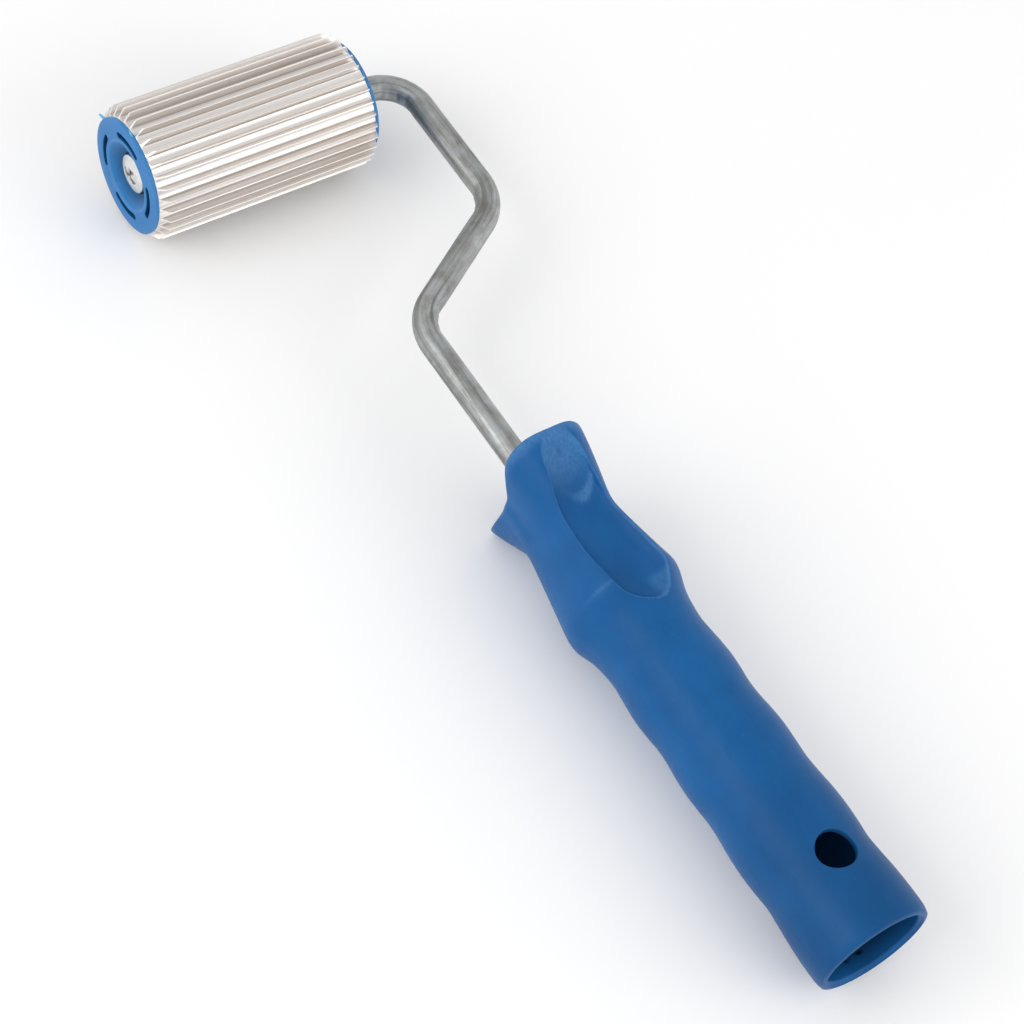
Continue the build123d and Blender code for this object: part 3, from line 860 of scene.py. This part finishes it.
def fin_profile():
    """Half pitch of the finned section as (sideways, radius) points, crest to valley."""
    points = [(0.0, FIN_TIP_R), (FIN_TIP_HALF - FIN_TIP_ROUND * 0.6, FIN_TIP_R)]
    for a in np.radians([20, 45, 70, 90]):
        points.append((FIN_TIP_HALF - FIN_TIP_ROUND * (1 - math.sin(a)) * 0.6,
                       FIN_TIP_R - FIN_TIP_ROUND * (1 - math.cos(a))))
    for t in (0.2, 0.4, 0.6, 0.8):
        points.append((FIN_TIP_HALF + t * (FIN_BASE_HALF - FIN_TIP_HALF),
                       FIN_TIP_R - FIN_TIP_ROUND
                       - t * (FIN_TIP_R - FIN_TIP_ROUND - FIN_ROOT_R - FIN_FOOT_ROUND)))
    for a in np.radians([0, 22, 45, 68, 90]):
        points.append((FIN_BASE_HALF + FIN_FOOT_ROUND * (1 - math.cos(a)),
                       FIN_ROOT_R + FIN_FOOT_ROUND * (1 - math.sin(a))))
    half_pitch = FIN_ROOT_R * math.pi / FIN_COUNT
    last = points[-1][0]
    for t in (0.25, 0.5, 0.75):
        points.append((last + t * (half_pitch - last),
                       FIN_ROOT_R - VALLEY_DROP * (1 - (1 - t) ** 2)))
    return points, half_pitch


def sleeve_section():
    """Angles and radii round the whole section."""
    half, half_pitch = fin_profile()
    angles = []
    radii = []
    pitch = 2 * math.pi / FIN_COUNT
    one = [(-w, r) for w, r in half[:0:-1]] + half + [(half_pitch, FIN_ROOT_R - VALLEY_DROP)]
    for k in range(FIN_COUNT):
        middle = math.radians(FIN_PHASE) + k * pitch
        for w, r in one:
            turn = w / half_pitch * pitch / 2 if r < FIN_ROOT_R + 0.01 else math.atan2(w, r)
            angles.append(middle + turn)
            radii.append(r)
    return np.array(angles), np.array(radii)


def make_sleeve():
    """Finned sleeve with its fins bevelled at both ends."""
    angles, radii = sleeve_section()
    low_r = FIN_ROOT_R - VALLEY_DROP
    climb = FIN_TIP_R + BEVEL_CLEARANCE - FIN_ROOT_R
    ends = np.array([0.0, 0.03, 0.25, 0.5, 0.75, 1.0, 1.25, 1.5, 1.75, 2.0, 2.2, 2.35, 2.55])
    middle = np.linspace(3.2, SLEEVE_IN_X - SLEEVE_OUT_X - 3.2, 26)
    length = SLEEVE_IN_X - SLEEVE_OUT_X
    places = np.concatenate([ends, middle, length - ends[::-1]])
    rng = np.random.default_rng(7)
    fin_of = np.floor((angles - math.radians(FIN_PHASE)) / (2 * math.pi / FIN_COUNT) + 0.5)
    fin_of = fin_of.astype(int) % FIN_COUNT
    # Each fin's end is cut a little differently, and each fin is a hair off true.
    cut_out = rng.uniform(-0.12, 0.12, FIN_COUNT)[fin_of]
    cut_in = rng.uniform(-0.12, 0.12, FIN_COUNT)[fin_of]
    lean = rng.uniform(-0.0012, 0.0012, FIN_COUNT)[fin_of]
    height = np.clip((radii - FIN_ROOT_R) / (FIN_TIP_R - FIN_ROOT_R), 0, 1)
    # Painted shade just above each fin's foot, of a different strength on each fin.
    fin_foot_shade = hump(radii, FIN_ROOT_R + 0.45, 0.42) * rng.uniform(0.3, 0.75, FIN_COUNT)[fin_of]
    rings = []
    for place in places:
        rise_out = low_r + place * climb / OUTER_BEVEL + cut_out * min(place, 1.0)
        rise_in = low_r + (length - place) * climb / INNER_BEVEL + cut_in * min(length - place, 1.0)
        limit = np.maximum(np.minimum(rise_out, rise_in), low_r)
        r = np.minimum(-smooth_max(-radii, -limit, 0.22), limit)
        turn = angles + lean * height * math.sin(place * 0.09)
        rings.append(axle_ring(SLEEVE_OUT_X + place, r, turn))
    skin = Skin()
    outer = skin.add(rings, fin_foot_shade)
    bore = [(SLEEVE_IN_X, BORE_CHAMFER), (SLEEVE_IN_X - BORE_CHAMFER, 0.0), (SLEEVE_IN_X - 20, 0.0),
            (SLEEVE_OUT_X + 20, 0.0), (SLEEVE_OUT_X + BORE_CHAMFER, 0.0), (SLEEVE_OUT_X, BORE_CHAMFER)]
    inner = skin.add([axle_ring(x, SLEEVE_BORE_R + wider, angles) for x, wider in bore])
    skin.quads(outer)
    skin.quads(inner)
    skin.quads(np.stack([outer[-1], inner[0]]))
    skin.quads(np.stack([inner[-1], outer[0]]))
    piece = skin.build("finned_sleeve", ALUMINIUM, "roller",
                       attribute="fin", sharp=40)
    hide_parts("ribbed_sleeve")


# ---- end caps

FLANGE_R = 17.3
FLANGE_THICK = 1.16
SPIGOT_R = 15.45
SPIGOT_INNER_R = 13.9
SPIGOT_DEPTH = 13.0
WEB_THICK = 2.4
CORE_R = 10.8
CORE_DEPTH = 6.0
DISH_TOP_R = 10.5
DISH_FLOOR_R = 6.9
DISH_DEPTH = 2.9
POCKET_R = 6.25
POCKET_DEPTH = 4.4
HUB_R = 7.0
HUB_DEPTH = 17.0
CAP_BORE_R = 3.86
SLOT_MID_R = 12.75
SLOT_HALF = 0.9
SLOT_SPAN = 45.0
SLOT_COUNT = 4
SLOT_PHASE = 95.0
SLOT_ROUND = 0.14
CAP_COLS = 288
CAP_SPIN = SLOT_PHASE - 90.0 - 360.0 / SLOT_COUNT / 2
# Turn of the painted highlight streak in the outer cap's dish.
SHEEN_STREAK_TURN = 150.7
# The slotted ring of the web, at its front and at its back.
WEB_IN_R = 11.3
WEB_OUT_R = 14.2
BACK_IN_R = 11.2
BACK_OUT_R = 13.88


def rounded(corners, steps=4):
    """A profile through corners (x, r, rounding) with each corner rounded off."""
    profile = []
    n = len(corners)
    for i, corner in enumerate(corners):
        here = np.array(corner[:2], float)
        radius = corner[2]
        before = np.array(corners[i - 1][:2], float)
        after = np.array(corners[(i + 1) % n][:2], float)
        if radius == 0:
            profile.append(here)
            continue
        to_before = unit(before - here)
        to_after = unit(after - here)
        for k in range(steps + 1):
            t = k / steps
            start = here + to_before * radius
            end = here + to_after * radius
            profile.append((1 - t) ** 2 * start + 2 * t * (1 - t) * here + t ** 2 * end)
    return np.array(profile)


def slot_ring(size, middle, loop_r, loop_a):
    """Points on a curved slot's outline, grown by size, facing each loop point."""
    flat_a = (loop_a - middle) * SLOT_MID_R
    flat_r = loop_r - SLOT_MID_R
    half_run = math.radians(SLOT_SPAN / 2) * SLOT_MID_R
    spine = np.clip(flat_a, -half_run * 0.999, half_run * 0.999)
    # Loop points past the slot's end fan out round its end.
    span = np.maximum(np.hypot(flat_a - spine, flat_r), 1e-6)
    out_a = spine + (flat_a - spine) / span * (SLOT_HALF + size)
    out_r = flat_r / span * (SLOT_HALF + size)
    return SLOT_MID_R + out_r, middle + out_a / SLOT_MID_R


def make_cap(name, node, face_x, sign, scuff_and_sheen):
    """End cap: flange, slotted web, dished middle with a painted highlight streak, spigot and hub."""
    start = rounded([(HUB_DEPTH, CAP_BORE_R, 0.0), (POCKET_DEPTH, CAP_BORE_R, 0.2),
                     (POCKET_DEPTH, POCKET_R, 0.25), (DISH_DEPTH, POCKET_R, 0.0),
                     (DISH_DEPTH, DISH_FLOOR_R, 0.0), (0.0, DISH_TOP_R, 0.35), (0.0, WEB_IN_R, 0.0)])
    web = np.array([(0.0, r) for r in np.linspace(WEB_IN_R, WEB_OUT_R, 11)[1:]])
    rim = rounded([(0.0, WEB_OUT_R, 0.0), (0.0, FLANGE_R, 0.32), (FLANGE_THICK, FLANGE_R, 0.2),
                   (FLANGE_THICK, SPIGOT_R, 0.1), (SPIGOT_DEPTH, SPIGOT_R, 0.3),
                   (SPIGOT_DEPTH, SPIGOT_INNER_R, 0.3), (WEB_THICK, SPIGOT_INNER_R, 0.0)])[1:]
    back = np.array([(WEB_THICK, r) for r in np.linspace(BACK_OUT_R, BACK_IN_R, 11)])
    tail = rounded([(WEB_THICK, BACK_IN_R, 0.0), (WEB_THICK, CORE_R, 0.2), (CORE_DEPTH, CORE_R, 0.3),
                    (CORE_DEPTH, HUB_R, 0.3), (HUB_DEPTH, HUB_R, 0.3),
                    (HUB_DEPTH, CAP_BORE_R, 0.0)])[1:-1]
    profile = np.concatenate([start, web, rim, back, tail])
    web_0 = len(start) - 1
    web_1 = web_0 + len(web)
    back_0 = len(start) + len(web) + len(rim)
    back_1 = back_0 + len(back) - 1
    turn = 2 * np.pi * np.arange(CAP_COLS) / CAP_COLS

    def shape(x, r, a):
        return axle_ring(face_x + sign * x, r, a + math.radians(CAP_SPIN)) * (1.0, sign, 1.0)

    skin = Skin()
    r = np.repeat(profile[:, 1:], CAP_COLS, axis=1)
    edge = hump(profile[:, 1], FLANGE_R, 0.3) * (profile[:, 0] < 1.0)
    edge += hump(profile[:, 1], DISH_TOP_R, 0.35)
    # Painted shade: darker down into the dish and on all faces behind the web.
    inside = smoothstep(DISH_TOP_R - 0.1, DISH_TOP_R - 1.2, profile[:, 1]) * 0.5
    inside += 0.5 * (profile[:, 0] > WEB_THICK - 0.1) * (1 - inside)
    # A painted highlight streak running out across the dish's wall.
    off_ray = (turn[None, :] - math.radians(SHEEN_STREAK_TURN - CAP_SPIN)) * r
    sheen_streak = scuff_and_sheen * hump(off_ray, 0.0, 0.7) * smoothstep(6.6, 7.6, r) * smoothstep(10.4, 9.6, r)
    grid = skin.add(shape(profile[:, :1], r, turn[None, :]), 0.55 * edge[:, None] + sheen_streak, inside[:, None])
    step = 360.0 / CAP_COLS
    half_cols = int((SLOT_SPAN / 2 + 7.0) / step)
    mids = [int(round((360.0 / SLOT_COUNT * (k + 0.5)) / step)) for k in range(SLOT_COUNT)]
    cut = [(row_0, row_1, mid_col - half_cols, mid_col + half_cols) for mid_col in mids
           for row_0, row_1 in ((web_0, web_1), (back_0, back_1))]
    skin.quads(grid, cut)
    skin.quads(np.stack([grid[-1], grid[0]]))
    # The grid is the skin's first block, so its point numbers also pick from r and turn.
    for mid_col in mids:
        a_mid = turn[mid_col]
        col_0 = mid_col - half_cols
        col_1 = mid_col + half_cols
        front_loop = window_loop(grid, web_0, web_1, col_0, col_1)
        back_loop = window_loop(grid[back_0:back_1 + 1][::-1], 0, back_1 - back_0, col_0, col_1)
        loop_r = r.ravel()[front_loop]
        loop_a = turn[front_loop % CAP_COLS]
        back_r = r.ravel()[back_loop]
        rings = []
        goal_r, goal_a = slot_ring(SLOT_ROUND, a_mid, loop_r, loop_a)
        for t in (0.5, 1.0):
            rings.append(shape(0.0, loop_r * (1 - t) + goal_r * t, loop_a * (1 - t) + goal_a * t))
        for a in np.radians([30, 60, 90]):
            rr, aa = slot_ring(SLOT_ROUND * (1 - math.sin(a)), a_mid, loop_r, loop_a)
            rings.append(shape(SLOT_ROUND * (1 - math.cos(a)), rr, aa))
        rr, aa = slot_ring(0.0, a_mid, loop_r, loop_a)
        rings += [shape(depth, rr, aa) for depth in (0.9, 1.6, WEB_THICK)]
        rings.append(shape(WEB_THICK, (rr + back_r) / 2, (aa + loop_a) / 2))
        # Painted shade, darker down the slot.
        deep = [0.0] * 3 + [0.3, 0.55, 0.8, 0.9, 0.95, 0.95]
        lining = [skin.add(ring, 0, d) for ring, d in zip(rings, deep)]
        skin.quads(np.array([front_loop, *lining, back_loop]))
    piece = skin.build(name, CAP_BLUE, "roller", attribute="wear_and_painted_light", sharp=50)
    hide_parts(node)


def make_flash(name, angle, face_x, width, reach):
    """Sliver of moulding flash pressed out between two fins at the cap's rim."""
    skin = Skin()
    a = math.radians(angle)
    across = np.array([0.0, math.cos(a), -math.sin(a)])
    outward = np.array([0.0, math.sin(a), math.cos(a)])
    along = np.array([1.0, 0.0, 0.0])
    rings = []
    for t in np.linspace(0, 1, 9):
        r = FLANGE_R - 0.25 + reach * t
        half = width / 2 * (1 - 0.4 * t ** 1.6)
        thick = 0.34 * (1 - 0.55 * t)
        x = face_x + 0.55 - 0.75 * t ** 2
        sway = 0.22 * math.sin(3.1 * t)
        rings.append([along * (x + thick * math.sin(b)) + outward * r
                      + across * (half * math.cos(b) + sway) for b in 2 * math.pi * np.arange(12) / 12])
    grid = skin.add(rings)
    skin.quads(grid)
    skin.cap(grid[0])
    skin.cap(grid[-1])
    return skin.build(name, FLASH_BLUE, "roller", attribute="wear_and_painted_light")


# ---- axle's domed end

PUSH_CAP_R = 5.75
PUSH_CAP_ROUND = 0.25
PUSH_CAP_BORE_R = WIRE_R + 0.02
PUSH_CAP_DROP = 0.8
WASHER_GAP = 0.66
DOME_RISE = 1.2
DOME_COLS = 120


def make_dome(face_x):
    """Domed cap on the axle's end, punched in its middle with a three-legged mark."""
    skin = Skin()
    turn = 2 * np.pi * np.arange(DOME_COLS) / DOME_COLS
    dome_r = (PUSH_CAP_R ** 2 + DOME_RISE ** 2) / (2 * DOME_RISE)
    apex = face_x + PUSH_CAP_DROP
    rings = []
    marks = []
    for r in [*np.linspace(0.06, 3.2, 34), *np.linspace(3.35, PUSH_CAP_R - PUSH_CAP_ROUND, 16)]:
        x = apex + dome_r - math.sqrt(dome_r ** 2 - r ** 2)
        lobe = (0.5 + 0.5 * np.cos(3 * turn + 0.5)) ** 1.5
        leg = lobe * (1 - smoothstep(2.3, 3.3, r + 0.6 * np.sin(2 * turn + 1.0)))
        pit = 0.9 * leg * smoothstep(0.2, 0.6, r) + 0.5 * hump(r, 0.0, 0.8)
        swell = 0.16 * hump(r, 2.8, 0.5) * lobe
        marks.append(np.clip(1.6 * pit, 0, 1))
        rings.append(axle_ring(x + pit - swell, r, turn))
    for a in np.radians([20, 45, 70, 90]):
        x = apex + DOME_RISE + PUSH_CAP_ROUND * (1 - math.cos(a)) - 0.1
        rings.append(axle_ring(x, PUSH_CAP_R - PUSH_CAP_ROUND * (1 - math.sin(a)), turn))
    back = face_x + POCKET_DEPTH - WASHER_GAP
    for x, r in ((back - 0.1, PUSH_CAP_R), (back, PUSH_CAP_R - 0.1), (back, PUSH_CAP_BORE_R),
                 (apex + 1.0, PUSH_CAP_BORE_R), (apex + 1.0, 0.5)):
        rings.append(axle_ring(x, r, turn))
    marks += [0 * turn] * (len(rings) - len(marks))
    grid = skin.add(rings, marks)
    skin.quads(grid)
    skin.cap(grid[0])
    skin.cap(grid[-1])
    piece = skin.build("axle_dome", CAP_STEEL, "frame", attribute="marks", sharp=60)
    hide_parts("axle_push_cap")


# ---- pieces

make_handle()
make_wire()
make_sleeve()
OUTER_FACE_X = SLEEVE_OUT_X - FLANGE_THICK
INNER_FACE_X = SLEEVE_IN_X + FLANGE_THICK
# Only the outer cap's dish gets the painted highlight streak.
make_cap("outer_cap", "outer_end_cap", OUTER_FACE_X, 1.0, 0.9)
make_cap("inner_cap", "inner_end_cap", INNER_FACE_X, -1.0, 0.0)
make_flash("cap_flash_top", 0.0, OUTER_FACE_X, 2.1, 2.3)
make_flash("cap_flash_side", 60.0, OUTER_FACE_X, 2.2, 1.9)
make_dome(OUTER_FACE_X)
for node in ("outer_thrust_washer", "inner_thrust_washer", "inner_stop_ring"):
    part = frame["nodes"][node]
    part.data.materials.clear()
    part.data.materials.append(WASHER_STEEL)

# ---- stage

FLOOR_HALF = 2.4
LIGHT_DISTANCE = 1.6


def make_floor():
    """Pale floor, faintly mottled, under the tool."""
    p = Paint("pale_floor")
    cloud = p.noise((6, 6, 6), detail=3.0)
    grain = p.noise((700, 700, 700), detail=2.0)
    tint = p.over((0.97, 0.97, 0.972), (0.98, 0.98, 0.98), cloud, 0.35, 0.65)
    rough = p.spread(grain, 0.3, 0.7, 0.75, 0.85)
    normal = p.bump(grain, 0.000004)
    material = p.finish(tint, rough, normal, Specular_IOR_Level=0.15)
    mesh = bpy.data.meshes.new("floor")
    h = FLOOR_HALF
    mesh.from_pydata([(-h, -h, 0), (h, -h, 0), (h, h, 0), (-h, h, 0)], [], [(0, 1, 2, 3)])
    mesh.materials.append(material)
    add_object("floor", mesh)


def make_world(zenith, horizon):
    """Soft studio surround, paler near the horizon than overhead."""
    world = bpy.data.worlds.new("studio")
    world.use_nodes = True
    tree = world.node_tree
    links = tree.links
    coords = add_node(tree, "TexCoord")
    split = add_node(tree, "SeparateXYZ")
    height = add_node(tree, "MapRange", From_Min=0.05, From_Max=0.85)
    height.interpolation_type = "SMOOTHSTEP"
    mix = add_node(tree, "Mix")
    mix.data_type = "RGBA"
    mix.inputs[6].default_value = (*horizon, 1)
    mix.inputs[7].default_value = (*zenith, 1)
    links.new(coords.outputs["Generated"], split.inputs[0])
    links.new(split.outputs["Z"], height.inputs["Value"])
    links.new(height.outputs[0], mix.inputs["Factor"])
    background = tree.nodes["Background"]
    links.new(mix.outputs[2], background.inputs["Color"])
    background.inputs["Strength"].default_value = 1.0
    bpy.context.scene.world = world


def soft_light(name, direction, width, height, power, colour=(1, 1, 1)):
    """Rectangular soft light aimed at the tool from a direction."""
    data = bpy.data.lights.new(name, "AREA")
    data.shape = "RECTANGLE"
    data.size = width
    data.size_y = height
    data.energy = power
    data.color = colour
    light = add_object(name, data)
    toward = Vector(direction).normalized()
    light.location = toward * LIGHT_DISTANCE
    light.rotation_euler = toward.to_track_quat("Z", "Y").to_euler()


make_floor()
make_world((0.76, 0.76, 0.765), (0.96, 0.96, 0.96))
soft_light("key_left", (-0.80, 0.15, 0.58), 1.0, 1.0, 8.0)
soft_light("key_right", (0.42, -0.75, 0.50), 1.2, 0.7, 5.0, (1.0, 0.985, 0.965))

# ---- camera

AIM = Vector((-10.6, -145.8, 0.0)) * MM + Vector(ORIGIN)
TO_CAMERA = Vector((-0.4223, -0.3990, 0.8139)).normalized()
CAMERA_DISTANCE = 0.7373
CAMERA_ROLL = 16.70
CAMERA_LENS = 97.1


def make_camera():
    """Long lens from above the handle's left, turned about its own axis."""
    data = bpy.data.cameras.new("camera")
    data.lens = CAMERA_LENS
    data.sensor_width = 36.0
    data.clip_start = 0.02
    data.clip_end = 20.0
    camera = add_object("camera", data)
    level = Vector((0, 0, 1)).cross(TO_CAMERA).normalized()
    upright = TO_CAMERA.cross(level)
    roll = math.radians(CAMERA_ROLL)
    right = level * math.cos(roll) + upright * math.sin(roll)
    up = TO_CAMERA.cross(right)
    turn = Matrix((right, up, TO_CAMERA)).transposed()
    camera.matrix_world = Matrix.Translation(AIM + TO_CAMERA * CAMERA_DISTANCE) @ turn.to_4x4()
    bpy.context.scene.camera = camera


make_camera()
bpy.context.scene.view_settings.view_transform = "Standard"
